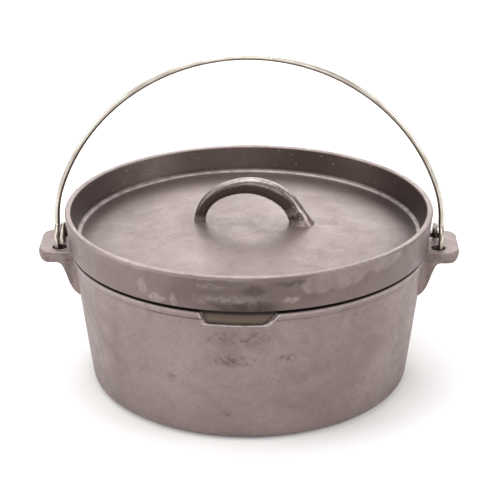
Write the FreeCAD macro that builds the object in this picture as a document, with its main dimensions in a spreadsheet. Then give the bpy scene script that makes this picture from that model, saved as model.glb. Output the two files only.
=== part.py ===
import FreeCAD, Part
import math
import os

import Sketcher
from FreeCAD import Placement, Rotation, Vector

# Cast iron dutch oven: a pot with two cast ears, a flanged lid with a cast loop handle,
# and a bent wire bail whose ends are coiled round the web of each ear.
# Frame: +Z up, origin at the centre of the pot's base, ears and bail in the X-Z plane,
# the side with the rim recess towards -Y. Millimetres.

DIMENSIONS = [
    # pot wall
    ("base_radius", 118.2, "outer wall carried down to the base plane"),
    ("rim_radius", 131.5, "outer wall at the rim"),
    ("pot_height", 105.2, "rim seat above the base plane"),
    ("wall_thick", 4.8, "wall, measured along the radius"),
    ("floor_thick", 6.0, "floor"),
    ("base_round", 9.0, "outer corner between wall and floor"),
    ("inside_round", 13.0, "inner corner between wall and floor"),
    ("band_tall", 4.6, "raised band under the rim, outside"),
    ("band_proud", 0.7, "band proud of the wall"),
    ("bead_inner", 124.2, "inner radius of the thick rim bead"),
    ("bead_tall", 13.0, "straight part of the bead"),
    ("bead_run", 9.0, "slope from the bead to the wall"),
    ("seat_outer", 129.4, "outer edge of the flat seat"),
    ("lip_drop", 1.7, "rim falls away outside the seat"),
    # recess in the front of the rim
    ("recess_floor", 127.9, "radius of the recess floor"),
    ("recess_deep", 10.3, "below the seat"),
    ("recess_left", 31.2, "top corner, left of centre"),
    ("recess_left_foot", 26.8, "bottom corner, left"),
    ("recess_right", 20.8, "top corner, right of centre"),
    ("recess_right_foot", 9.6, "bottom corner, right"),
    ("recess_draft", 0.55, "spread of each end for each millimetre outwards"),
    # ears
    ("ear_reach", 155.4, "outer end from the centre line"),
    ("ear_half", 23.3, "half width along Y"),
    ("ear_top", 104.4, "top face"),
    ("ear_thick", 8.0, "plate thickness"),
    ("ear_root", 127.8, "inner end, buried in the wall"),
    ("ear_corner", 10.0, "plan corner radius"),
    ("ear_lip", 4.4, "underside edge radius at the outer end"),
    ("hole_from_axis", 140.1, "hole centres along X"),
    ("hole_pitch", 25.0, "between the two hole centres"),
    ("hole_bore", 10.8, "hole diameter"),
    ("gusset_low", 70.5, "where the bracket runs out on the wall"),
    ("relief_from_axis", 134.3, "bracket face behind the wire coil"),
    ("relief_radius", 16.6, "scoop under the ear, about the swing axis"),
    # lid
    ("lid_radius", 136.0, "rim, outside, at the top"),
    ("lid_foot_radius", 133.2, "outside, at the bottom"),
    ("lid_top", 133.0, "top of the rim"),
    ("lid_rim_thick", 4.2, "rim width at the top"),
    ("lid_lift", 1.3, "lower edge rises outside the seat"),
    ("shelf_radius", 127.0, "foot of the inner rim wall"),
    ("shelf_height", 114.6, "shelf round the plate"),
    ("shelf_inner", 124.8, "inner edge of the shelf"),
    ("plate_radius", 123.4, "where the domed plate starts"),
    ("plate_edge", 112.8, "plate top at its edge"),
    ("plate_crown", 121.0, "plate top at the centre"),
    ("plate_thick", 5.0, "plate"),
    ("ring_outer", 123.3, "locating ring at the seat"),
    ("ring_tip", 118.6, "locating ring at its lower edge"),
    ("ring_deep", 2.8, "locating ring below the seat"),
    ("ring_inner", 115.5, "inside of the locating ring"),
    ("loop_turn", -3.5, "the loop's line against the X axis, degrees"),
    ("loop_crown", 148.6, "middle of the bar at the top of the loop"),
    ("loop_half_span", 36.5, "foot centres from the middle of the loop"),
    ("loop_bar", 12.0, "bar height at the top of the loop"),
    ("loop_wide", 11.0, "bar width at the top of the loop"),
    # bail
    ("wire", 4.0, "wire diameter"),
    ("pivot_height", 103.0, "swing axis"),
    ("coil_radius", 13.5, "wire centre to the swing axis"),
    ("coil_pitch", 4.3, "shift along X in one turn"),
    ("coil_turns_left", 1.15, "turns at the left ear"),
    ("coil_turns_right", 0.96, "turns at the right ear"),
    ("bend_radius", 4.5, "bend between the leg and the coil"),
    ("leg_from_axis", 142.5, "straight leg, wire centre"),
    ("shoulder_height", 121.5, "top of the straight leg"),
    ("crown_height", 246.6, "wire centre at the top of the arch"),
    ("crown_radius", 146.0, "top arc of the arch"),
]

doc = FreeCAD.newDocument("dutch_oven")
sheet = doc.addObject("Spreadsheet::Sheet", "dims")
for row, (alias, value, note) in enumerate(DIMENSIONS, start=1):
    sheet.set("A%d" % row, alias)
    sheet.set("B%d" % row, str(value))
    sheet.set("C%d" % row, note)
    sheet.setAlias("B%d" % row, alias)
doc.recompute()


def dim(alias):
    """The value of one driving dimension."""
    return float(sheet.get(alias))


def named(text):
    """An expression on the sheet's aliases, written with the sheet's name in front."""
    out, word = "", ""
    for ch in text + " ":
        if ch.isalnum() or ch == "_":
            word += ch
            continue
        aliases = [d[0] for d in DIMENSIONS]
        out += "dims." + word if word in aliases else word
        out, word = out + ch, ""
    return out.strip()


def origin_plane(body, role):
    return [f for f in body.Origin.OriginFeatures if f.Role == role][0]


def sketch_on(body, role, name):
    sketch = body.newObject("Sketcher::SketchObject", name)
    sketch.AttachmentSupport = [(origin_plane(body, role), "")]
    sketch.MapMode = "FlatFace"
    return sketch


def bind(sketch, kind, geo, pos, expression):
    """Hold one point's distance from the sketch's origin to an expression."""
    name = "c%d" % sketch.ConstraintCount
    value = 1.0
    index = sketch.addConstraint(Sketcher.Constraint(kind, -1, 1, geo, pos, value))
    sketch.renameConstraint(index, name)
    sketch.setExpression("Constraints." + name, named(expression))


def evaluate(expression):
    """A first position for a point, so that the solver starts at its answer."""
    text = expression
    for alias, value, _ in sorted(DIMENSIONS, key=lambda d: -len(d[0])):
        text = text.replace(alias, repr(float(value)))
    return float(FreeCAD.Units.Quantity(text).Value)


def outline(sketch, corners, arcs=()):
    """Closed outline through corners given as pairs of expressions. A corner number
    in arcs starts an arc, with its centre on the vertical axis, to the next corner."""
    points = [Vector(evaluate(a), evaluate(b), 0) for a, b in corners]
    count = len(points)
    ends = []
    for i, start in enumerate(points):
        stop = points[(i + 1) % count]
        if i in arcs:
            # centre on the axis: equal distance from both ends
            height = ((start.x ** 2 + start.y ** 2) - (stop.x ** 2 + stop.y ** 2)) / (
                2 * (start.y - stop.y))
            centre = Vector(0, height, 0)
            radius = (start - centre).Length
            first = math.atan2(start.y - height, start.x)
            last = math.atan2(stop.y - height, stop.x)
            circle = Part.Circle(centre, Vector(0, 0, 1), radius)
            if last > first:
                geo = sketch.addGeometry(Part.ArcOfCircle(circle, first, last), False)
                ends.append((geo, 1, 2))
            else:
                geo = sketch.addGeometry(Part.ArcOfCircle(circle, last, first), False)
                ends.append((geo, 2, 1))
            sketch.addConstraint(Sketcher.Constraint("PointOnObject", geo, 3, -2))
        else:
            geo = sketch.addGeometry(Part.LineSegment(start, stop), False)
            ends.append((geo, 1, 2))
    for i in range(count):
        geo, first, last = ends[i]
        follower = ends[(i + 1) % count]
        sketch.addConstraint(
            Sketcher.Constraint("Coincident", geo, last, follower[0], follower[1]))
    for i, (across, up) in enumerate(corners):
        geo, first, last = ends[i]
        for axis, kind, line, text in ((0, "DistanceX", -2, across), (1, "DistanceY", -1, up)):
            if text == "0":
                sketch.addConstraint(Sketcher.Constraint("PointOnObject", geo, first, line))
            else:
                bind(sketch, kind, geo, first, text)


def free_sketch(name, view):
    """A sketch that stands in the document: front is X-Z seen from -Y, top is X-Y."""
    sketch = doc.addObject("Sketcher::SketchObject", name)
    if view == "front":
        sketch.Placement = Placement(Vector(0, 0, 0), Rotation(Vector(1, 0, 0), 90))
    return sketch


def rounded_tab(sketch, root, reach, half, corner):
    """Closed tab from X = root to X = reach, with its two outer corners rounded."""
    x0, x1, y1, r = (evaluate(t) for t in (root, reach, half, corner))
    lines = [(x0, y1, x0, -y1), (x0, -y1, x1 - r, -y1), (x1, -y1 + r, x1, y1 - r),
             (x1 - r, y1, x0, y1)]
    geo = [sketch.addGeometry(Part.LineSegment(Vector(a, b, 0), Vector(c, d, 0)), False)
           for a, b, c, d in lines]
    up = Vector(0, 0, 1)
    low = sketch.addGeometry(Part.ArcOfCircle(
        Part.Circle(Vector(x1 - r, -y1 + r, 0), up, r), -math.pi / 2, 0), False)
    high = sketch.addGeometry(Part.ArcOfCircle(
        Part.Circle(Vector(x1 - r, y1 - r, 0), up, r), 0, math.pi / 2), False)
    for first, last in (((geo[0], 2), (geo[1], 1)), ((geo[3], 2), (geo[0], 1))):
        sketch.addConstraint(Sketcher.Constraint("Coincident", *first, *last))
    for first, last in (((geo[1], 2), (low, 1)), ((low, 2), (geo[2], 1)),
                        ((geo[2], 2), (high, 1)), ((high, 2), (geo[3], 1))):
        sketch.addConstraint(Sketcher.Constraint("Tangent", *first, *last))
    bind(sketch, "DistanceX", geo[0], 1, root)
    bind(sketch, "DistanceY", geo[0], 1, half)
    bind(sketch, "DistanceX", geo[0], 2, root)
    bind(sketch, "DistanceY", geo[0], 2, "-1 * " + half)
    bind(sketch, "DistanceX", geo[2], 1, reach)
    bind(sketch, "DistanceX", geo[1], 2, reach + " - " + corner)
    bind(sketch, "DistanceY", geo[1], 2, "-1 * " + half)
    bind(sketch, "DistanceY", geo[3], 1, half)
    bind(sketch, "DistanceX", geo[3], 1, reach + " - " + corner)


def extrude(sketch, name, length, both):
    """Draw a sketch out along its own normal, both ways or one way."""
    solid = doc.addObject("Part::Extrusion", name)
    solid.Base = sketch
    solid.DirMode = "Normal"
    solid.Solid = True
    solid.setExpression("LengthFwd", named(length))
    if both:
        solid.setExpression("LengthRev", named(length))
    sketch.Visibility = False
    doc.recompute()
    return solid


def loop_at(shape, height, beyond):
    """Numbers of the edges that lie at one height, further out than X = beyond."""
    picked = []
    for i, edge in enumerate(shape.Edges, start=1):
        box = edge.BoundBox
        middle = edge.valueAt((edge.FirstParameter + edge.LastParameter) / 2)
        if box.ZLength < 0.01 and abs(middle.z - height) < 0.01 and middle.x > beyond:
            picked.append(i)
    if not picked:
        raise RuntimeError("no edges at height %.2f" % height)
    return picked


def revolve(body, sketch, name):
    feature = body.newObject("PartDesign::Revolution", name)
    feature.Profile = sketch
    feature.ReferenceAxis = (sketch, ["V_Axis"])
    feature.Angle = 360.0
    sketch.Visibility = False
    doc.recompute()
    return feature


def rings(shape, wanted):
    """Names of the circular edges at (radius, height) pairs."""
    names = []
    for radius, height in wanted:
        for i, edge in enumerate(shape.Edges, start=1):
            if edge.Degenerated or not isinstance(edge.Curve, Part.Circle):
                continue
            if abs(edge.Curve.Radius - radius) < 0.05 and abs(edge.CenterOfMass.z - height) < 0.05:
                names.append("Edge%d" % i)
                break
        else:
            raise RuntimeError("no ring at %.2f, %.2f" % (radius, height))
    return names


def round_edges(body, base, names, radius, name):
    feature = body.newObject("PartDesign::Fillet", name)
    feature.Base = (base, names)
    feature.setExpression("Radius", radius) if isinstance(radius, str) else setattr(
        feature, "Radius", radius)
    doc.recompute()
    return feature


# ---------------------------------------------------------------- pot
draft = (dim("rim_radius") - dim("base_radius")) / dim("pot_height")
WALL_AT = "(base_radius + (rim_radius - base_radius) * (%s) / pot_height)"

pot_body = doc.addObject("PartDesign::Body", "pot_body")
pot_body.Label = "pot_casting"
wall_sketch = sketch_on(pot_body, "XZ_Plane", "wall_profile")
band_low = "pot_height - lip_drop - band_tall"
bead_low = "pot_height - bead_tall"
slope_low = "pot_height - bead_tall - bead_run"
outline(wall_sketch, [
    ("0", "0"),
    ("base_radius", "0"),
    (WALL_AT % band_low, band_low),
    (WALL_AT % band_low + " + band_proud", band_low + " + 0.4"),
    ("rim_radius + band_proud", "pot_height - lip_drop"),
    ("seat_outer", "pot_height"),
    ("bead_inner", "pot_height"),
    ("bead_inner", bead_low),
    (WALL_AT % slope_low + " - wall_thick", slope_low),
    (WALL_AT % "floor_thick" + " - wall_thick", "floor_thick"),
    ("0", "floor_thick"),
])
wall = revolve(pot_body, wall_sketch, "wall")

base_r = dim("base_radius")
floor_r = dim("base_radius") + draft * dim("floor_thick") - dim("wall_thick")
wall_base = round_edges(pot_body, wall, rings(wall.Shape, [(base_r, 0)]), 9.0, "base_rounding")
wall_base.setExpression("Radius", "dims.base_round")
wall_in = round_edges(pot_body, wall_base, rings(wall_base.Shape, [(floor_r, dim("floor_thick"))]),
                      13.0, "inside_rounding")
wall_in.setExpression("Radius", "dims.inside_round")
rim_edges = rings(wall_in.Shape, [
    (dim("rim_radius") + dim("band_proud"), dim("pot_height") - dim("lip_drop")),
    (dim("bead_inner"), dim("pot_height"))])
wall_rim = round_edges(pot_body, wall_in, rim_edges, 0.7, "rim_rounding")

pot_body.Tip = wall_rim

# One ear with its bracket: the front profile and the plan outline, each drawn out and
# intersected. The left ear is its mirror image.
ear_front = free_sketch("ear_profile", "front")
ear_low = "ear_top - ear_thick"
outline(ear_front, [
    ("ear_root", "ear_top"),
    ("ear_reach", "ear_top"),
    ("ear_reach", ear_low + " + 4.8"),
    ("ear_reach - 1.4", ear_low + " + 2.6"),
    ("ear_reach - 3.2", ear_low + " + 0.9"),
    ("ear_reach - 5.6", ear_low),
    ("ear_root + 13.4", ear_low),
    ("ear_root + 11.4", ear_low + " - 0.6"),
    ("ear_root + 9.9", ear_low + " - 2.2"),
    ("ear_root + 8.6", ear_low + " - 4.8"),
    ("ear_root + 7.0", ear_low + " - 9.2"),
    ("ear_root + 4.6", ear_low + " - 16.4"),
    ("ear_root + 2.9", ear_low + " - 20.0"),
    ("ear_root + 0.6", ear_low + " - 23.4"),
    ("ear_root - 2.4", "gusset_low"),
    ("ear_root - 4.2", "gusset_low"),
])
ear_plan = free_sketch("ear_plan", "top")
rounded_tab(ear_plan, "ear_root - 8", "ear_reach", "ear_half", "ear_corner")

ear_slab = extrude(ear_front, "ear_slab", "ear_half", both=True)
ear_column = extrude(ear_plan, "ear_column", "pot_height", both=False)
ear = doc.addObject("Part::MultiCommon", "ear_blank")
ear.Shapes = [ear_slab, ear_column]
doc.recompute()
right_ear = doc.addObject("Part::Fillet", "right_ear")
right_ear.Base = ear
right_ear.Edges = [(n, 1.3, 1.3) for n in loop_at(ear.Shape, dim("ear_top"), dim("ear_root") + 1)]
left_ear = doc.addObject("Part::Mirroring", "left_ear")
left_ear.Source = right_ear
left_ear.Normal = Vector(1, 0, 0)
doc.recompute()

# Holes for the bail, two through each ear.
bores = []
for name, across, along in (("bore_rf", 1, -1), ("bore_rr", 1, 1),
                            ("bore_lf", -1, -1), ("bore_lr", -1, 1)):
    bore = doc.addObject("Part::Cylinder", name)
    bore.setExpression("Radius", "dims.hole_bore / 2")
    bore.setExpression("Height", "2 * dims.ear_thick + 30")
    bore.setExpression("Placement.Base.x", "%d * dims.hole_from_axis" % across)
    bore.setExpression("Placement.Base.y", "%d * dims.hole_pitch / 2" % along)
    bore.setExpression("Placement.Base.z", "dims.ear_top - dims.ear_thick - 15")
    bores.append(bore)

# Scoop in each bracket, under the ear, where the wire coil passes.
for name, side in (("scoop_r", 1), ("scoop_l", -1)):
    drum = doc.addObject("Part::Cylinder", name + "_drum")
    drum.setExpression("Radius", "dims.relief_radius")
    drum.setExpression("Height", "dims.ear_reach - dims.relief_from_axis - 6")
    drum.Placement = Placement(Vector(0, 0, 0), Rotation(Vector(0, 1, 0), 90 * side))
    drum.setExpression("Placement.Base.x", "%d * dims.relief_from_axis" % side)
    drum.setExpression("Placement.Base.z", "dims.pivot_height")
    below = doc.addObject("Part::Box", name + "_below")
    below.setExpression("Length", "4 * dims.ear_half")
    below.setExpression("Width", "4 * dims.ear_half")
    below.setExpression("Height", "40")
    below.setExpression("Placement.Base.x", "%d * dims.ear_reach - 2 * dims.ear_half" % side)
    below.setExpression("Placement.Base.y", "-2 * dims.ear_half")
    below.setExpression("Placement.Base.z", "dims.ear_top - dims.ear_thick - 40")
    scoop = doc.addObject("Part::MultiCommon", name)
    scoop.Shapes = [drum, below]
    bores.append(scoop)

# Recess in the front of the rim: a plug that widens outwards, kept only outside the
# radius of the recess floor, so that the recess has drafted ends and a flat ledge.
recess_low = "pot_height - recess_deep"


def recess_outline(name, depth):
    """The recess seen from the front, drawn at Y = -depth, its ends spread by the draft."""
    sketch = free_sketch(name, "front")
    sketch.setExpression("Placement.Base.y", named("-1 * (%s)" % depth))
    spread = " (%s - recess_floor + 2) * recess_draft" % depth
    outline(sketch, [
        ("-1 * recess_left - 1.5 -" + spread, "pot_height + 4"),
        ("-1 * recess_left -" + spread, "pot_height - 1.0"),
        ("-1 * recess_left + 2.0 -" + spread, "pot_height - 5.4"),
        ("-1 * recess_left_foot - 0.9 -" + spread, recess_low + " + 1.0"),
        ("-1 * recess_left_foot + 0.8 -" + spread, recess_low),
        ("recess_right_foot +" + spread, recess_low),
        ("recess_right_foot + 4.4 +" + spread, recess_low + " + 1.7"),
        ("recess_right_foot + 8.0 +" + spread, recess_low + " + 5.0"),
        ("recess_right +" + spread, "pot_height - 1.2"),
        ("recess_right + 1.8 +" + spread, "pot_height + 4"),
    ])
    sketch.Visibility = False
    return sketch


recess_plug = doc.addObject("Part::Loft", "recess_plug")
recess_plug.Sections = [recess_outline("recess_inner", "recess_floor - 8"),
                        recess_outline("recess_outer", "rim_radius + 6")]
recess_plug.Solid, recess_plug.Ruled = True, True
outer_ring = doc.addObject("Part::Cylinder", "recess_reach")
outer_ring.setExpression("Radius", "dims.rim_radius + 12")
outer_ring.setExpression("Height", "dims.pot_height + 20")
inner_ring = doc.addObject("Part::Cylinder", "recess_back")
inner_ring.setExpression("Radius", "dims.recess_floor")
inner_ring.setExpression("Height", "dims.pot_height + 20")
recess_ring = doc.addObject("Part::Cut", "recess_ring")
recess_ring.Base, recess_ring.Tool = outer_ring, inner_ring
recess = doc.addObject("Part::MultiCommon", "recess")
recess.Shapes = [recess_plug, recess_ring]

pot_blank = doc.addObject("Part::MultiFuse", "pot_blank")
pot_blank.Shapes = [pot_body, right_ear, left_ear]
pot_tools = doc.addObject("Part::MultiFuse", "pot_tools")
pot_tools.Shapes = bores + [recess]
pot = doc.addObject("Part::Cut", "pot")
pot.Base, pot.Tool = pot_blank, pot_tools
pot.Label = "pot"
doc.recompute()

# ---------------------------------------------------------------- lid
lid_body = doc.addObject("PartDesign::Body", "lid_body")
lid_body.Label = "lid_casting"
lid_sketch = sketch_on(lid_body, "XZ_Plane", "lid_profile")
outline(lid_sketch, [
    ("0", "plate_crown"),
    ("plate_radius", "plate_edge"),
    ("shelf_inner", "shelf_height"),
    ("shelf_radius", "shelf_height + 0.3"),
    ("lid_radius - lid_rim_thick", "lid_top"),
    ("lid_radius", "lid_top"),
    ("lid_foot_radius", "pot_height + lid_lift"),
    ("seat_outer", "pot_height"),
    ("ring_outer", "pot_height"),
    ("ring_tip", "pot_height - ring_deep"),
    ("ring_inner + 0.8", "pot_height - ring_deep"),
    ("ring_inner", "plate_edge - plate_thick + 1.0"),
    ("0", "plate_crown - plate_thick"),
], arcs=(0, 11))
lid_disc = revolve(lid_body, lid_sketch, "lid_disc")
lid_foot = round_edges(lid_body, lid_disc, rings(lid_disc.Shape, [
    (dim("lid_foot_radius"), dim("pot_height") + dim("lid_lift"))]), 1.9, "lid_foot_rounding")
lid_rim = round_edges(lid_body, lid_foot, rings(lid_foot.Shape, [
    (dim("lid_radius"), dim("lid_top")),
    (dim("lid_radius") - dim("lid_rim_thick"), dim("lid_top"))]), 1.2, "lid_rim_rounding")
lid_shelf = round_edges(lid_body, lid_rim, rings(lid_rim.Shape, [
    (dim("shelf_inner"), dim("shelf_height"))]), 0.8, "shelf_rounding")
lid_body.Tip = lid_shelf

# Loop handle, cast with the lid: rounded sections along a low arch. The section is
# slimmer on the left half and spreads into a wide pad at the right foot.
# Each row: part of the half span, part of the rise, bar height and width factors.
LOOP = [
    (-1.00, -1.02, 0.74, 0.90),
    (-0.985, -0.84, 0.70, 0.84),
    (-0.90, -0.57, 0.73, 0.82),
    (-0.70, -0.29, 0.80, 0.87),
    (-0.38, -0.085, 0.90, 0.94),
    (0.00, 0.00, 1.00, 1.00),
    (0.38, -0.085, 1.08, 1.06),
    (0.70, -0.31, 1.09, 1.10),
    (0.90, -0.60, 1.08, 1.16),
    (1.00, -0.84, 1.22, 1.32),
    (1.07, -1.03, 1.75, 1.80),
]
rise = dim("loop_crown") - dim("plate_crown") + 1.5
path = [Vector(dim("loop_half_span") * a, 0, dim("loop_crown") + rise * b) for a, b, _, _ in LOOP]
sections = []
for i, (_, _, tall, wide) in enumerate(LOOP):
    ahead = (path[min(i + 1, len(path) - 1)] - path[max(i - 1, 0)]).normalize()
    if i in (0, len(path) - 1):
        ahead = Vector(0, 0, 1 if i == 0 else -1)
    out = Vector(0, -1, 0).cross(ahead)
    half_tall = dim("loop_bar") * tall / 2
    half_wide = dim("loop_wide") * wide / 2
    ring = []
    for k in range(16):
        c, q = math.cos(k * math.pi / 8), math.sin(k * math.pi / 8)
        across = math.copysign(abs(c) ** 0.86, c) * half_tall
        along = math.copysign(abs(q) ** 0.86, q) * half_wide
        ring.append(path[i] + out * across + Vector(0, along, 0))
    curve = Part.BSplineCurve()
    curve.interpolate(Points=ring, PeriodicFlag=True)
    sections.append(Part.Wire([curve.toShape()]))
loop = doc.addObject("Part::Feature", "lid_loop")
loop.Shape = Part.makeLoft(sections, True, False)
loop.Placement = Placement(Vector(0, 0, 0), Rotation(Vector(0, 0, 1), dim("loop_turn")))

lid = doc.addObject("Part::MultiFuse", "lid")
lid.Shapes = [lid_body, loop]
lid.Label = "lid"
doc.recompute()

# ---------------------------------------------------------------- bail
# One length of wire: a coil round the web of one ear, a bend into a straight leg, the
# arch, and the same again at the other ear.
wire_r = dim("wire") / 2
pivot = dim("pivot_height")
coil_r, bend_r, leg_x = dim("coil_radius"), dim("bend_radius"), dim("leg_from_axis")
bend_start = math.asin(bend_r / (coil_r + bend_r))
bend_top = pivot + math.sqrt(coil_r ** 2 + 2 * coil_r * bend_r)
crown_z = dim("crown_height") - dim("crown_radius")
shoulder_z = dim("shoulder_height")
shoulder_r = (dim("crown_radius") ** 2 - leg_x ** 2 - (shoulder_z - crown_z) ** 2) / (
    2 * (dim("crown_radius") - leg_x))
EASE = 0.05


def coil_point(side, angle):
    """Wire centre in the coil: angle from the top, turning towards the front."""
    turned = (angle - bend_start) / (2 * math.pi)
    shift = turned - EASE / 2 if turned > EASE else turned ** 2 / (2 * EASE)
    return Vector(side * (leg_x - dim("coil_pitch") * shift),
                  -coil_r * math.sin(angle), pivot + coil_r * math.cos(angle))


def wire_end(side, turns):
    """Edges from the tip of one coil up to the top of its straight leg."""
    last = bend_start + turns * 2 * math.pi
    count = int(turns * 28)
    points = [coil_point(side, last + (bend_start - last) * k / count) for k in range(count + 1)]
    coil = Part.BSplineCurve()
    coil.interpolate(Points=points)
    touch = points[-1]
    middle_angle = (math.pi / 2 - bend_start) / 2
    centre = Vector(side * leg_x, -bend_r, bend_top)
    middle = centre + Vector(0, bend_r * math.cos(middle_angle), -bend_r * math.sin(middle_angle))
    foot = Vector(side * leg_x, 0, bend_top)
    shoulder = Vector(side * leg_x, 0, shoulder_z)
    return [coil.toShape(), Part.Arc(touch, middle, foot).toShape(),
            Part.LineSegment(foot, shoulder).toShape()]


def shoulder_arc(side):
    centre = Vector(side * (leg_x - shoulder_r), 0, shoulder_z)
    reach = (centre - Vector(0, 0, crown_z)).normalize()
    end_angle = math.atan2(reach.z, abs(reach.x))
    at = [centre + Vector(side * shoulder_r * math.cos(t), 0, shoulder_r * math.sin(t))
          for t in (0, end_angle / 2, end_angle)]
    return Part.Arc(*at), at[2]


right_arc, right_join = shoulder_arc(1)
left_arc, left_join = shoulder_arc(-1)
crown = Part.Arc(right_join, Vector(0, 0, dim("crown_height")), left_join)
edges = wire_end(1, dim("coil_turns_right")) + [right_arc.toShape(), crown.toShape(),
                                               left_arc.toShape()]
edges += wire_end(-1, dim("coil_turns_left"))[::-1]
spine = Part.Wire(Part.__sortEdges__(edges))
start = spine.OrderedEdges[0] if hasattr(spine, "OrderedEdges") else spine.Edges[0]
tip = spine.OrderedVertexes[0].Point
direction = start.tangentAt(start.FirstParameter)
if (start.valueAt(start.FirstParameter) - tip).Length > 0.01:
    direction = start.tangentAt(start.LastParameter)
section = Part.Wire([Part.Circle(tip, direction, wire_r).toShape()])
bail = doc.addObject("Part::Feature", "bail")
bail.Shape = spine.makePipeShell([section], True, False)
bail.Label = "bail"
swept = bail.Shape.Volume / (math.pi * wire_r ** 2 * spine.Length)
print("bail wire %.1f mm long, swept volume ratio %.4f" % (spine.Length, swept))
assert abs(swept - 1) < 0.01
doc.recompute()

# ---------------------------------------------------------------- checks and export
for obj in doc.Objects:
    bad = [state for state in obj.State if state in ("Invalid", "Error")]
    if bad:
        raise RuntimeError("%s is %s" % (obj.Name, bad))

os.makedirs("parts", exist_ok=True)
for node in (pot, lid, bail):
    shape = node.Shape
    if shape.isNull() or not shape.isValid():
        raise RuntimeError("%s has no valid shape" % node.Label)
    shape.exportStep("parts/%s.step" % node.Label)
    box = shape.BoundBox
    print("%s: %d solid, %.1f cm3, X %.1f to %.1f, Y %.1f to %.1f, Z %.1f to %.1f" % (
        node.Label, len(shape.Solids), shape.Volume / 1000, box.XMin, box.XMax,
        box.YMin, box.YMax, box.ZMin, box.ZMax))
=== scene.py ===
"""Looks of the cast iron dutch oven: camera, plain pale studio and procedural materials.

The frame is in metres: +Z up, the origin at the centre of the pot's base, the ears along X
and the recess in the pot's rim towards -Y. Materials count in millimetres. The three CAD
nodes keep their shapes, and no piece is added.
"""

import math

import bpy
from mathutils import Euler, Matrix, Vector

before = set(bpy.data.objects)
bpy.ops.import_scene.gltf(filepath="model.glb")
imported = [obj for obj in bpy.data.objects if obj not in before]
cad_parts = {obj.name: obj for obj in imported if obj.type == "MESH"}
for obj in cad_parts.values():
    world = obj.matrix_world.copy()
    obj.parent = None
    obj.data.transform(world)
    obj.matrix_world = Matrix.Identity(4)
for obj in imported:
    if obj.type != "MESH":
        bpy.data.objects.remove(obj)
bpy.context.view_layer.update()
scene = bpy.context.scene

MM = 0.001

# Landmarks of the castings, mm: heights above the base, and radii from the Z axis.
FLOOR_TOP = 6.0          # inside of the pot's floor
RECESS_LOW = 94.9        # ledge at the foot of the recess
RECESS_FACE = 127.9      # radius of the recess's face
BAND_LOW = 98.9          # lower edge of the raised band under the pot's rim
POT_LIP = 103.5          # outer corner of the pot's rim
POT_RADIUS = 132.2       # outside of the raised band
EAR_TOP = 104.4
EAR_ROOT = 133.0         # where an ear leaves the wall, along X
HOLE_OUT = 140.1         # centres of the ears' holes, along X
HOLE_ALONG = 12.5        # and along Y
HOLE_RADIUS = 5.4
LID_EDGE = 106.5         # lower edge of the lid's flank
LID_UNDERSIDE = 112.0    # no upper face of the plate or shelf is lower than this
SHELF_TOP = 114.6        # the ring between the plate and the rim
SHELF_RADIUS = 127.0     # outside of that ring
LID_TOP = 133.0
LID_RADIUS = 136.0

# Base colours, linear.
IRON = (0.258, 0.200, 0.191)          # oiled bare iron, a brownish mauve grey
IRON_DARK = (0.158, 0.118, 0.110)     # heavier seasoning, and painted shade on the lid's plate
IRON_LIGHT = (0.360, 0.298, 0.290)    # rubbed, drier iron
SOOT_AND_SHADE = (0.043, 0.026, 0.022)          # baked-on oil, and painted shade in the joints, holes and recess, on the lid and under its loop
# painted shadow, black, in the joint and under the lid's edge
SHADOW_BLACK = (0.010, 0.007, 0.006)
OLIVE = (0.098, 0.072, 0.052)         # dark olive brown, painted shade on the recess's face
BARE_EDGE_AND_HIGHLIGHT = (0.46, 0.40, 0.385)       # iron rubbed bright along an edge, and painted highlights on edges and ledges
RUST = (0.150, 0.085, 0.052)
WIRE_DULL = (0.47, 0.42, 0.355)
WIRE_BRIGHT = (0.66, 0.62, 0.55)
WIRE_SCRATCH = (0.30, 0.25, 0.21)
WIRE_SPECK = (0.12, 0.085, 0.06)
# painted shade on the inner side of the bail's arch
WIRE_SHADE_BROWN = (0.150, 0.095, 0.075)
WIRE_TARNISH = (0.20, 0.15, 0.12)
FLOOR_TONES = (0.90, 0.90, 0.895), (0.925, 0.925, 0.92)
IRON_METALLIC = 0.70

# Marks. Each row: centre and radii in mm, where its soft edge begins and ends as shares of
# the radii, and its strength.
POT_SMUDGES = (
    ((-4, -129, 84), (40, 20, 9), 0.1, 1.0, 0.55),
    ((-8, -127, 66), (26, 20, 7), 0.1, 1.0, 0.60),
    ((29, -124, 68), (11, 16, 4), 0.1, 1.0, 0.75),
    ((74, -102, 92), (5, 9, 5), 0.2, 1.0, 0.60),
    ((-52, -111, 48), (8, 9, 5), 0.2, 1.0, 0.45),
    ((-14, -121, 22), (5, 9, 4), 0.2, 1.0, 0.55))
LOOP_FEET = (
    ((-36, -6, 121), (24, 22, 20), 0.2, 1.0, 1.0),
    ((36, -8, 121), (26, 22, 20), 0.2, 1.0, 1.0),
    ((0, -20, 121), (58, 26, 20), 0.2, 1.0, 0.6))
LOOP_GATE = (((36, -5, 127), (13, 10, 11), 0.4, 0.9, 1.0),)
FLANK_BROWN = (((2, -134, 119), (92, 46, 26), 0.2, 1.0, 1.0),)
FLANK_SCALE = (
    ((-71, -114, 119), (5, 14, 7), 0.5, 0.95, 0.8),
    ((-62, -119, 111), (9, 12, 3.5), 0.5, 0.95, 1.0),
    ((-50, -124, 112), (3.5, 12, 6), 0.5, 0.95, 1.0),
    ((-12, -133, 115), (34, 14, 5), 0.2, 1.0, 0.7),
    ((31, -131, 114), (6, 12, 4), 0.5, 0.95, 1.0),
    ((-24, -133, 125), (18, 12, 3), 0.3, 0.95, 0.5))
FLANK_TONGUE = (
    ((50, -124, 124), (15, 16, 9), 0.7, 0.95, 1.0),
    ((68, -116, 129), (26, 20, 13), 0.75, 0.95, 1.0),
    ((95, -96, 133), (26, 24, 13), 0.7, 0.95, 1.0))
FLANK_STAINS = (
    ((0, -133, 109), (32, 12, 8), 0.35, 1.0, 1.0),
    ((6, -135, 123), (14, 12, 5), 0.3, 1.0, 0.75),
    ((32, -133, 127), (20, 12, 3), 0.3, 1.0, 0.6))


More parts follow.
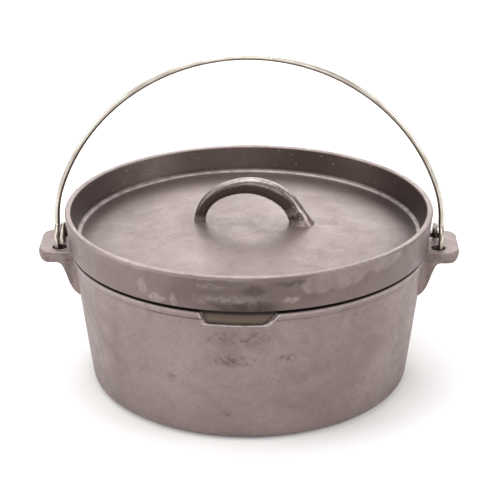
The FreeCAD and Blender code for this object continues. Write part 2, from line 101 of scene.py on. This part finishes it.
# ------------------------------------------------------------------ node helpers
class Graph:
    """A material's node tree, with a short call for each kind of node it uses.

    x, y, z and r (the distance from the Z axis) are in mm. A mask is a value from 0 to 1.
    """

    def __init__(self, name):
        self.material = bpy.data.materials.new(name)
        self.material.use_nodes = True
        self.tree = self.material.node_tree
        self.tree.nodes.clear()
        self.out = self.tree.nodes.new("ShaderNodeOutputMaterial")
        self.shader = self.tree.nodes.new("ShaderNodeBsdfPrincipled")
        self.link(self.shader.outputs[0], self.out.inputs["Surface"])
        self.place = self.node("ShaderNodeTexCoord").outputs["Object"]
        split = self.node("ShaderNodeSeparateXYZ", {0: self.place})
        self.x, self.y, self.z = [self.scaled(axis, 1.0 / MM) for axis in split.outputs]
        flat = self.node("ShaderNodeCombineXYZ", {0: self.x, 1: self.y}).outputs[0]
        self.r = self.vector("LENGTH", flat)

    def link(self, source, target):
        self.tree.links.new(source, target)

    def node(self, kind, inputs=None, **settings):
        made = self.tree.nodes.new(kind)
        for key, value in settings.items():
            setattr(made, key, value)
        for key, value in (inputs or {}).items():
            if isinstance(value, bpy.types.NodeSocket):
                self.link(value, made.inputs[key])
            elif value is not None:
                made.inputs[key].default_value = value
        return made

    def math(self, operation, a, b=None):
        return self.node("ShaderNodeMath", {0: a, 1: b}, operation=operation).outputs[0]

    def vector(self, operation, a, b=None, scale=None):
        inputs = {0: a, 1: b}
        if scale is not None:
            inputs["Scale"] = scale
        made = self.node("ShaderNodeVectorMath", inputs, operation=operation)
        return made.outputs["Value" if operation in ("LENGTH", "DOT_PRODUCT") else "Vector"]

    def scaled(self, value, factor):
        return self.math("MULTIPLY", value, factor)

    def overlap(self, *masks):
        """1 only where every mask is 1."""
        total = masks[0]
        for mask in masks[1:]:
            total = self.math("MULTIPLY", total, mask)
        return total

    def either(self, *masks):
        """The strongest of the masks."""
        total = masks[0]
        for mask in masks[1:]:
            total = self.math("MAXIMUM", total, mask)
        return total

    def span(self, value, low, high, start=0.0, end=1.0):
        """value's place between low and high, mapped to start..end and held at the ends."""
        return self.node("ShaderNodeMapRange", {0: value, 1: low, 2: high, 3: start, 4: end},
                         interpolation_type="SMOOTHSTEP", clamp=True).outputs[0]

    def band(self, value, low, high, soft):
        """1 between low and high, falling to 0 over soft outside them."""
        return self.overlap(self.span(value, low - soft, low),
                            self.span(value, high, high + soft, 1.0, 0.0))

    def noise(self, size_mm, detail=4.0, rough=0.55, warp=0.0, seed=0.0, stretch=None):
        """Noise 0..1 with features about size_mm across. seed moves it elsewhere."""
        at = self.place
        if stretch:
            at = self.vector("MULTIPLY", at, stretch)
        if seed:
            at = self.vector("ADD", at, (seed * 0.731, seed * 0.417, seed * 0.593))
        made = self.node("ShaderNodeTexNoise", {"Vector": at, "Scale": 1.0 / (size_mm * MM),
                                                "Detail": detail, "Roughness": rough,
                                                "Distortion": warp})
        return made.outputs["Fac"]

    def patches(self, size_mm, detail, rough, seed, low, high, weak=0.0, strong=1.0):
        """Patches of noise: weak where it is below low, strong where it is above high."""
        return self.span(self.noise(size_mm, detail, rough, seed=seed), low, high, weak, strong)

    def warped(self, amount_mm, size_mm, seed):
        """The place, pushed about by noise, for ragged edges."""
        made = self.node("ShaderNodeTexNoise", {
            "Vector": self.vector("ADD", self.place, (seed, seed * 0.3, -seed)),
            "Scale": 1.0 / (size_mm * MM), "Detail": 3.0})
        push = self.vector("SUBTRACT", made.outputs["Color"], (0.5, 0.5, 0.5))
        return self.vector("ADD", self.place, self.vector("SCALE", push, scale=2 * amount_mm * MM))

    def marks(self, place, rows):
        """The strongest of several soft ellipsoids, one for each row."""
        masks = []
        for centre, radii, inner, outer, strength in rows:
            away = self.vector("SUBTRACT", place, tuple(c * MM for c in centre))
            away = self.vector("DIVIDE", away, tuple(r * MM for r in radii))
            mask = self.span(self.vector("LENGTH", away), inner, outer, 1.0, 0.0)
            masks.append(self.scaled(mask, strength))
        return self.either(*masks)

    def pits(self, size_mm, spread, limit, seed, share):
        """Small round marks in a share of the cells of a Voronoi pattern, in patches."""
        made = self.node("ShaderNodeTexVoronoi", {
            "Vector": self.vector("ADD", self.place, (seed, -seed, seed * 0.5)),
            "Scale": 1.0 / (spread * MM), "Randomness": 1.0})
        dot = self.span(made.outputs["Distance"], 0.15 * size_mm / spread,
                        size_mm / spread, 1.0, 0.0)
        chosen = self.node("ShaderNodeSeparateColor", {0: made.outputs["Color"]}).outputs[0]
        chosen = self.math("LESS_THAN", chosen, share)
        patch = self.span(self.noise(45.0, 2.0, seed=seed + 3.0), limit, limit + 0.1)
        return self.overlap(dot, chosen, patch)

    def facing_up(self):
        """1 where the surface faces up, 0 on a wall, -1 underneath."""
        normal = self.node("ShaderNodeNewGeometry").outputs["Normal"]
        return self.node("ShaderNodeSeparateXYZ", {0: normal}).outputs[2]

    def mix(self, mask, under, over):
        made = self.node("ShaderNodeMix", data_type="RGBA", blend_type="MIX")
        colours = [s for s in made.inputs if s.type == "RGBA"]
        for socket, value in ((made.inputs[0], mask), (colours[0], under), (colours[1], over)):
            if isinstance(value, bpy.types.NodeSocket):
                self.link(value, socket)
            else:
                socket.default_value = (*value, 1.0)
        return [s for s in made.outputs if s.type == "RGBA"][0]

    def coat(self, under, over, strength, *masks):
        """The colour under, with the colour over laid on it where the masks overlap."""
        return self.mix(self.scaled(self.overlap(*masks), strength), under, over)

    def finish(self, colour, roughness, metallic, heights, specular=0.5):
        """Connect the shader. heights are (value, height in mm) pairs, added up."""
        total = 0.0
        for value, amount in heights:
            total = self.math("ADD", self.scaled(value, amount * MM), total)
        bump = self.node("ShaderNodeBump", {"Height": total, "Strength": 1.0, "Distance": 1.0})
        self.link(bump.outputs[0], self.shader.inputs["Normal"])
        self.link(colour, self.shader.inputs["Base Color"])
        self.link(roughness, self.shader.inputs["Roughness"])
        self.shader.inputs["Metallic"].default_value = metallic
        self.shader.inputs["Specular IOR Level"].default_value = specular
        return self.material


# ------------------------------------------------------------------ cast iron
def iron_base(g, seed, brushed, uneven):
    """Colour, roughness and bump heights that every cast surface of the oven shares.

    brushed stretches the faint streaks, and uneven scales how much the patches differ.
    """
    clouds = g.noise(70.0, 3.0, 0.5, warp=0.6, seed=seed)
    mottle = g.noise(14.0, 5.0, 0.62, warp=0.8, seed=seed + 1)
    grain = g.noise(1.5, 3.0, 0.6, seed=seed + 2)
    sand = g.noise(0.55, 2.0, 0.5, seed=seed + 3)
    streak = g.noise(9.0, 4.0, 0.6, seed=seed + 4, stretch=brushed)
    pores = g.pits(0.75, 5.0, 0.38, seed + 5, 0.6)
    dents = g.pits(1.9, 17.0, 0.42, seed + 6, 0.35)
    colour = IRON
    for over, strength, mask in (
            (IRON_DARK, uneven, g.span(clouds, 0.55, 0.30)),
            (IRON_LIGHT, 0.6 * uneven, g.span(clouds, 0.50, 0.75)),
            (IRON_LIGHT, 0.35 * uneven, g.span(mottle, 0.50, 0.74)),
            (IRON_DARK, 0.45 * uneven, g.span(mottle, 0.52, 0.28)),
            (IRON_LIGHT, 0.25 * uneven, g.span(streak, 0.55, 0.75)),
            (SOOT_AND_SHADE, 0.13, g.span(grain, 0.60, 0.30)),
            (SOOT_AND_SHADE, 0.45, pores),
            (IRON_DARK, 0.30, dents),
            (RUST, 0.20, g.patches(26.0, 6.0, 0.7, seed + 7, 0.60, 0.72))):
        colour = g.coat(colour, over, strength, mask)
    rough = g.math("ADD", g.span(clouds, 0.3, 0.7, 0.50, 0.40),
                   g.span(mottle, 0.3, 0.7, 0.07, -0.04))
    rough = g.math("ADD", rough, g.span(grain, 0.3, 0.7, 0.04, -0.03))
    heights = [(grain, 0.055), (sand, 0.026), (mottle, 0.10), (clouds, 0.25),
               (pores, -0.10), (dents, -0.10), (streak, 0.012)]
    return colour, rough, heights


def pot_wall(g, colour):
    """Smudges below the recess and where the wall has been knocked, and a scuffed heel."""
    colour = g.coat(colour, SOOT_AND_SHADE, 1.0, g.marks(g.warped(3.0, 9.0, 2.0), POT_SMUDGES),
                    g.patches(3.2, 5.0, 0.7, 9.0, 0.40, 0.64))
    colour = g.coat(colour, IRON_DARK, 0.15, g.span(g.z, 26.0, 2.0))
    return g.coat(colour, BARE_EDGE_AND_HIGHLIGHT, 0.5, g.span(g.z, 4.5, 1.2),
                  g.patches(11.0, 5.0, 0.65, 12.0, 0.44, 0.62))


def pot_recess(g, colour, front, face, wear_and_highlight):
    """Painted shade on the recess's face, dark olive brown and darkest under the lid, and its
    ledge and slanting ends rubbed bright, with painted highlights.
    """
    # painted shade on the recess's face, darkest just under the lid
    colour = g.coat(colour, OLIVE, 0.88, face)
    colour = g.coat(colour, SOOT_AND_SHADE, 0.60, face, g.span(g.z, POT_LIP - 5.5, POT_LIP - 0.5))
    colour = g.coat(colour, SHADOW_BLACK, 0.95, face, g.span(g.z, POT_LIP - 2.1, POT_LIP - 0.7))
    ledge = g.overlap(front, g.band(g.x, -29.0, 14.0, 3.0),
                      g.band(g.r, RECESS_FACE + 0.7, POT_RADIUS - 0.2, 0.3),
                      g.band(g.z, RECESS_LOW - 0.6, RECESS_LOW + 0.2, 0.4))
    left = g.math("ADD", g.x, g.scaled(g.z, 0.36))
    right = g.math("SUBTRACT", g.x, g.scaled(g.z, 0.875))
    ends = g.either(g.band(left, 4.0, 7.2, 0.4), g.band(right, -70.4, -66.2, 0.4))
    ends = g.overlap(front, ends, g.band(g.r, RECESS_FACE + 0.6, POT_RADIUS + 0.2, 0.2),
                     g.band(g.z, RECESS_LOW + 0.3, POT_LIP - 0.2, 0.3))
    # painted highlights on the ledge and the ends, rubbed in patches
    colour = g.coat(colour, BARE_EDGE_AND_HIGHLIGHT, 0.90, ledge, wear_and_highlight)
    return g.coat(colour, BARE_EDGE_AND_HIGHLIGHT, 0.80, ends, wear_and_highlight)


def pot_rim(g, colour, front, wear_and_highlight):
    """The rim's corner rubbed and lit with a painted highlight, painted shade under its raised
    band, and a black painted shadow in the joint.
    """
    # painted highlight on the rim's corner, rubbed in patches
    corner = g.overlap(g.band(g.r, POT_RADIUS - 1.2, POT_RADIUS + 0.8, 0.3),
                       g.band(g.z, POT_LIP - 1.6, POT_LIP - 0.2, 0.4))
    colour = g.coat(colour, BARE_EDGE_AND_HIGHLIGHT, 0.34, corner, wear_and_highlight)
    # the painted shade is strongest in front, to the left of the recess
    beside_recess = g.math("SUBTRACT", 1.0, g.band(g.x, -29.0, 20.0, 1.5))
    in_front = g.overlap(front, g.span(g.x, -30.0, 75.0, 0.55, 0.20))
    colour = g.coat(colour, SOOT_AND_SHADE, 1.0, g.span(g.r, POT_RADIUS - 2.6, POT_RADIUS - 2.0),
                    g.band(g.z, BAND_LOW - 1.0, BAND_LOW - 0.1, 0.7),
                    beside_recess, g.either(in_front, 0.25))
    # painted shadow in the joint, which looks narrower to the right
    edge = g.math("SUBTRACT", g.z, g.span(g.x, 10.0, 90.0, 0.0, 0.6))
    return g.coat(colour, SHADOW_BLACK, 1.0, g.band(g.r, 123.5, POT_RADIUS - 1.0, 0.4),
                  g.span(edge, POT_LIP - 0.15, POT_LIP + 0.1),
                  g.span(g.r, 124.6, 126.4, 0.55, 0.97))


def pot_ears(g, colour):
    """Painted shade on their sides near the wall and black painted shade inside the holes, and
    rubbed by the wire round them.
    """
    away = g.math("ABSOLUTE", g.x)
    # painted shade on the ears' sides that don't face up
    colour = g.coat(colour, SOOT_AND_SHADE, 0.62, g.span(away, EAR_ROOT - 6.0, EAR_ROOT),
                    g.span(g.facing_up(), 0.8, 0.2),
                    g.patches(3.0, 4.0, 0.7, 17.0, 0.30, 0.60, 1.0, 0.55))
    from_hole = g.node("ShaderNodeCombineXYZ", {
        0: g.math("SUBTRACT", away, HOLE_OUT),
        1: g.math("SUBTRACT", g.math("ABSOLUTE", g.y), HOLE_ALONG)}).outputs[0]
    # painted shade, black, inside the holes
    colour = g.coat(colour, SOOT_AND_SHADE, 0.85,
                    g.span(g.vector("LENGTH", from_hole), HOLE_RADIUS + 0.5, HOLE_RADIUS + 0.1),
                    g.span(g.z, EAR_TOP - 0.1, EAR_TOP - 0.8))
    return g.coat(colour, IRON_LIGHT, 0.35, g.span(away, EAR_ROOT, EAR_ROOT + 5.0),
                  g.patches(8.0, 4.0, 0.6, 18.0, 0.42, 0.66))


def pot_material():
    g = Graph("iron of the pot")
    colour, rough, heights = iron_base(g, 1.0, (0.35, 0.35, 2.2), 0.42)
    front = g.span(g.y, -115.0, -105.0, 1.0, 0.0)
    # patches that break up the painted highlights and mark rubbed wear
    wear_and_highlight = g.patches(6.0, 4.0, 0.6, 15.0, 0.30, 0.55, 0.25, 1.0)
    # inside: above the floor and within the tapering wall
    inside = g.overlap(g.span(g.r, 126.5, 125.5), g.span(g.z, FLOOR_TOP - 1.0, FLOOR_TOP - 0.2),
                       g.span(g.math("SUBTRACT", g.r, g.scaled(g.z, 0.1265)), 116.6, 115.4))
    face = g.overlap(front, g.band(g.x, -31.0, 21.0, 1.0),
                     g.band(g.r, RECESS_FACE - 0.9, RECESS_FACE + 0.1, 0.4),
                     g.span(g.z, RECESS_LOW - 0.3, RECESS_LOW + 0.2))
    colour = pot_wall(g, colour)
    colour = g.coat(colour, SOOT_AND_SHADE, 0.72, inside)
    colour = pot_recess(g, colour, front, face, wear_and_highlight)
    colour = pot_rim(g, colour, front, wear_and_highlight)
    colour = pot_ears(g, colour)
    rough = g.math("SUBTRACT", rough, g.scaled(face, 0.10))
    rough = g.math("ADD", rough, g.scaled(inside, 0.06))
    return g.finish(colour, rough, IRON_METALLIC, heights)


def lid_plate(g, colour, upper, rings):
    """Paler over its upper face, with painted shade at its sides, at its back and beside the rim
    on the right, and painted shade with darker seasoning round the feet of the loop.
    """
    sides = g.span(g.math("ABSOLUTE", g.x), 40.0, 92.0)
    back = g.overlap(g.span(g.r, 84.0, 123.0), g.span(g.y, -85.0, 55.0))
    crescent = g.overlap(g.span(g.r, 96.0, 124.0), g.span(g.x, 66.0, 108.0),
                         g.span(g.y, -55.0, -5.0))
    colour = g.coat(colour, IRON_LIGHT, 0.14, rings)
    colour = g.coat(colour, IRON_LIGHT, 0.15, upper)
    # painted shade at the sides, the back and beside the rim on the right
    colour = g.coat(colour, IRON_DARK, 0.55, sides, upper)
    colour = g.coat(colour, IRON_DARK, 0.80, back, upper)
    colour = g.coat(colour, SOOT_AND_SHADE, 0.45, back, g.span(g.r, 104.0, 124.0), upper)
    colour = g.coat(colour, SOOT_AND_SHADE, 0.42, crescent, upper)
    # painted shade round the feet of the loop, with darker seasoning
    feet = g.marks(g.warped(5.0, 24.0, 5.0), LOOP_FEET)
    return g.coat(colour, IRON_DARK, 0.45, feet, g.span(g.z, 126.0, 121.5))


def lid_rim(g, colour, wear_and_highlight):
    """Seasoning and painted shade up the inside of the rim, with pale grains there, and the rim's
    top and shelf rubbed, with painted highlights.
    """
    wall = g.overlap(g.band(g.r, SHELF_RADIUS + 0.4, 132.0, 0.5),
                     g.band(g.z, SHELF_TOP + 0.6, LID_TOP - 1.4, 0.8))
    grains = g.either(g.pits(0.9, 4.2, 0.34, 81.0, 0.5),
                      g.scaled(g.pits(1.6, 13.0, 0.40, 84.0, 0.5), 0.9))
    top = g.overlap(g.band(g.r, 131.4, LID_RADIUS + 0.4, 0.3),
                    g.span(g.z, LID_TOP - 1.0, LID_TOP - 0.2))
    shelf = g.overlap(g.band(g.r, SHELF_RADIUS - 2.8, SHELF_RADIUS - 0.4, 0.7),
                      g.band(g.z, SHELF_TOP - 0.7, SHELF_TOP + 0.7, 0.4))
    # seasoning with painted shade, darker towards the right
    colour = g.coat(colour, SOOT_AND_SHADE, 1.0, wall, g.span(g.x, -70.0, 70.0, 0.72, 0.93))
    colour = g.coat(colour, IRON_LIGHT, 0.55, wall, grains)
    # painted highlights on the rim's top and the shelf, rubbed in patches
    colour = g.coat(colour, BARE_EDGE_AND_HIGHLIGHT, 0.40, top, wear_and_highlight)
    return g.coat(colour, BARE_EDGE_AND_HIGHLIGHT, 0.75, shelf, wear_and_highlight)


def lid_flank(g, colour):
    """Brown seasoning with pale scale in ragged patches, a pale tongue, and dark stains."""
    flank = g.overlap(g.span(g.r, LID_RADIUS - 3.7, LID_RADIUS - 3.1),
                      g.span(g.z, LID_TOP - 0.4, LID_TOP - 1.2))
    ragged = g.warped(4.0, 8.0, 7.0)
    scale = g.overlap(g.marks(ragged, FLANK_SCALE),
                      g.patches(3.0, 5.0, 0.7, 46.0, 0.34, 0.60, 0.15, 1.0))
    tongue = g.overlap(g.marks(ragged, FLANK_TONGUE),
                       g.patches(7.0, 5.0, 0.65, 47.0, 0.34, 0.62, 0.30, 0.66))
    colour = g.coat(colour, IRON_DARK, 0.66, flank)
    colour = g.coat(colour, SOOT_AND_SHADE, 0.24, flank, g.span(g.x, 40.0, 100.0))
    colour = g.coat(colour, SOOT_AND_SHADE, 0.42, flank, g.marks(g.warped(9.0, 30.0, 6.0), FLANK_BROWN))
    colour = g.coat(colour, IRON_LIGHT, 0.52, flank, g.either(scale, tongue))
    colour = g.coat(colour, SOOT_AND_SHADE, 0.80, flank, g.marks(ragged, FLANK_STAINS),
                    g.patches(5.0, 5.0, 0.7, 49.0, 0.30, 0.56, 0.45, 1.0))
    # a ragged rubbed strip under the rim's edge, from the left to the middle
    jagged = g.math("ADD", g.z, g.patches(9.0, 5.0, 0.65, 58.0, 0.3, 0.7, -0.8, 0.8))
    return g.coat(colour, BARE_EDGE_AND_HIGHLIGHT, 0.22, flank, g.band(g.x, -100.0, -8.0, 22.0),
                  g.span(g.y, -60.0, -80.0), g.span(jagged, LID_TOP - 3.1, LID_TOP - 2.3))


def lid_loop(g, colour, loop, gate, wear_and_highlight):
    """Darker overall, with painted shade where it faces down, a painted highlight along its back
    in rubbed patches, and a rough gate mark on its right foot.
    """
    facing = g.facing_up()
    colour = g.coat(colour, IRON_DARK, 0.35, loop)
    # painted shade where the loop faces down
    colour = g.coat(colour, SOOT_AND_SHADE, 0.70, loop, g.span(facing, 0.75, 0.05))
    # painted highlight along the loop's back, in rubbed patches
    colour = g.coat(colour, BARE_EDGE_AND_HIGHLIGHT, 0.70, loop, g.span(facing, 0.55, 0.9), wear_and_highlight)
    return g.coat(colour, BARE_EDGE_AND_HIGHLIGHT, 0.60, gate)


def lid_material():
    g = Graph("iron of the lid")
    colour, rough, heights = iron_base(g, 31.0, (0.5, 0.5, 1.6), 0.46)
    # patches that break up the painted highlights and mark rubbed wear
    wear_and_highlight = g.patches(9.0, 4.0, 0.6, 40.0, 0.30, 0.60, 0.45, 1.0)
    upper = g.overlap(g.span(g.r, SHELF_RADIUS + 1.0, SHELF_RADIUS),
                      g.span(g.z, LID_UNDERSIDE, LID_UNDERSIDE + 0.6))
    # faint rings left by dressing the plate
    rings = g.node("ShaderNodeTexNoise", {"W": g.scaled(g.r, 0.42), "Detail": 4.0,
                                          "Roughness": 0.7}, noise_dimensions="1D").outputs[0]
    rings = g.overlap(g.span(rings, 0.50, 0.70), upper)
    loop = g.overlap(g.span(g.z, 123.0, 126.0), g.span(g.r, 60.0, 56.0))
    gate = g.overlap(g.marks(g.warped(2.0, 5.0, 8.0), LOOP_GATE),
                     g.patches(8.0, 3.0, 0.6, 52.0, 0.40, 0.58))
    colour = lid_plate(g, colour, upper, rings)
    colour = lid_rim(g, colour, wear_and_highlight)
    colour = lid_flank(g, colour)
    # painted shadow: the lower edge and underside are black where they meet the pot
    colour = g.coat(colour, SHADOW_BLACK, 0.95, g.span(g.z, LID_EDGE + 0.6, LID_EDGE + 0.1),
                    g.span(g.r, 122.0, 124.0))
    colour = lid_loop(g, colour, loop, gate, wear_and_highlight)
    rough = g.math("SUBTRACT", rough, g.scaled(upper, 0.09))
    rough = g.math("SUBTRACT", rough, g.scaled(loop, 0.12))
    lumps = g.overlap(loop, g.noise(7.0, 3.0, 0.6, seed=55.0))
    return g.finish(colour, rough, IRON_METALLIC,
                    [*heights, (rings, 0.012), (gate, 0.25), (lumps, 0.45)])


# ------------------------------------------------------------------ wire
def wire_material():
    g = Graph("plated wire of the bail")
    drawn = g.noise(2.2, 4.0, 0.6, seed=60.0, stretch=(0.6, 2.5, 0.6))
    cloudy = g.noise(22.0, 4.0, 0.6, seed=61.0)
    specks = g.pits(0.6, 4.0, 0.40, 62.0, 0.6)
    colour = g.coat(WIRE_DULL, WIRE_BRIGHT, 1.0, g.span(cloudy, 0.35, 0.65))
    colour = g.coat(colour, WIRE_SCRATCH, 0.35, g.span(drawn, 0.5, 0.75))
    colour = g.coat(colour, WIRE_SPECK, 0.6, specks)
    # painted shade: the inner side of the arch is brown, in patches
    arch_centre = (0.0, 0.0, 115.0 * MM)
    outwards = g.vector("NORMALIZE", g.vector("SUBTRACT", g.place, arch_centre))
    inner = g.vector("DOT_PRODUCT", outwards, g.node("ShaderNodeNewGeometry").outputs["Normal"])
    colour = g.coat(colour, WIRE_SHADE_BROWN, 0.85, g.span(inner, 0.15, -0.55),
                    g.patches(16.0, 3.0, 0.6, 63.0, 0.32, 0.52, 0.45, 1.0))
    # tarnish where the coils rub in the ears
    colour = g.coat(colour, WIRE_TARNISH, 0.45, g.span(g.z, 124.0, 112.0),
                    g.span(cloudy, 0.35, 0.6, 0.4, 1.0))
    rough = g.math("ADD", g.span(cloudy, 0.3, 0.7, 0.34, 0.24),
                   g.span(drawn, 0.3, 0.7, 0.05, 0.0))
    return g.finish(colour, rough, 1.0, [(drawn, 0.035), (specks, -0.04)])


for node, material in (("pot", pot_material()), ("lid", lid_material()),
                       ("bail", wire_material())):
    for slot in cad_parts[node].material_slots:
        slot.material = material


# ------------------------------------------------------------------ studio
def floor_material():
    g = Graph("pale floor")
    colour = g.coat(*FLOOR_TONES, 1.0, g.span(g.noise(400.0, 2.0, seed=70.0), 0.3, 0.7))
    rough = g.span(g.noise(30.0, 2.0, seed=72.0), 0.3, 0.7, 0.85, 0.95)
    return g.finish(colour, rough, 0.0, [(g.noise(6.0, 3.0, seed=71.0), 0.02)], specular=0.2)


def plain_floor():
    """A wide pale floor that curves up well behind the object, out of the camera's view."""
    half, rear, rise, bend, steps = 12.0, 3.0, 2.5, 1.0, 12
    line = [(-half, 0.0), (rear - bend, 0.0)]
    line += [(rear - bend + bend * math.sin(a), bend - bend * math.cos(a))
             for a in (math.pi / 2 * k / steps for k in range(1, steps + 1))]
    line.append((rear, rise))
    verts = [(x, y, z) for y, z in line for x in (-half, half)]
    faces = [(2 * k, 2 * k + 1, 2 * k + 3, 2 * k + 2) for k in range(len(line) - 1)]
    mesh = bpy.data.meshes.new("studio_floor")
    mesh.from_pydata(verts, [], faces)
    mesh.polygons.foreach_set("use_smooth", [True] * len(faces))
    mesh.materials.append(floor_material())
    floor = bpy.data.objects.new("studio_floor", mesh)
    scene.collection.objects.link(floor)


def area_light(name, place, target, size, watts):
    data = bpy.data.lights.new(name, "AREA")
    data.shape = "RECTANGLE"
    data.size, data.size_y = size
    data.energy = watts
    light = bpy.data.objects.new(name, data)
    light.location = place
    light.rotation_euler = (Vector(target) - Vector(place)).to_track_quat("-Z", "Y").to_euler()
    scene.collection.objects.link(light)


def surroundings(colour, strength):
    world = bpy.data.worlds.new("studio")
    world.use_nodes = True
    background = world.node_tree.nodes["Background"]
    background.inputs["Color"].default_value = (*colour, 1.0)
    background.inputs["Strength"].default_value = strength
    scene.world = world


plain_floor()
area_light("overhead", (-0.2, 0.2, 1.7), (0.0, 0.0, 0.1), (1.8, 1.5), 26.0)
area_light("behind", (0.25, 2.0, 1.0), (0.0, 0.0, 0.12), (2.6, 0.9), 17.0)
area_light("left", (-1.5, -0.4, 0.8), (0.0, 0.0, 0.08), (1.0, 1.0), 12.0)
area_light("right", (1.5, -0.4, 0.8), (0.0, 0.0, 0.08), (1.0, 1.0), 12.0)
area_light("front", (0.0, -1.9, 1.0), (0.0, 0.0, 0.0), (1.6, 0.8), 12.0)
surroundings((1.0, 0.985, 0.975), 0.42)
scene.view_settings.view_transform = "Standard"

# ------------------------------------------------------------------ camera
# The oven stands turned a little, its right ear nearer, so the camera is turned about it.
CAMERA_DISTANCE, CAMERA_HEIGHT = 1.26866, 0.62299
HEADING, PITCH, YAW, ROLL = 1.1, 22.517, -0.034, -0.233     # degrees
FOCAL_LENGTH, SENSOR_WIDTH, FARTHEST = 132.258, 36.0, 30.0  # mm, mm, m
camera_data = bpy.data.cameras.new("camera")
camera_data.lens, camera_data.sensor_width = FOCAL_LENGTH, SENSOR_WIDTH
camera_data.clip_end = FARTHEST
camera = bpy.data.objects.new("camera", camera_data)
turn = Matrix.Rotation(math.radians(HEADING), 4, "Z")
aim = Euler((math.radians(90.0 - PITCH), 0.0, math.radians(YAW))).to_matrix().to_4x4()
camera.matrix_world = (turn @ Matrix.Translation((0.0, -CAMERA_DISTANCE, CAMERA_HEIGHT)) @ aim
                       @ Matrix.Rotation(math.radians(ROLL), 4, "Z"))
scene.collection.objects.link(camera)
scene.camera = camera

bpy.context.view_layer.update()
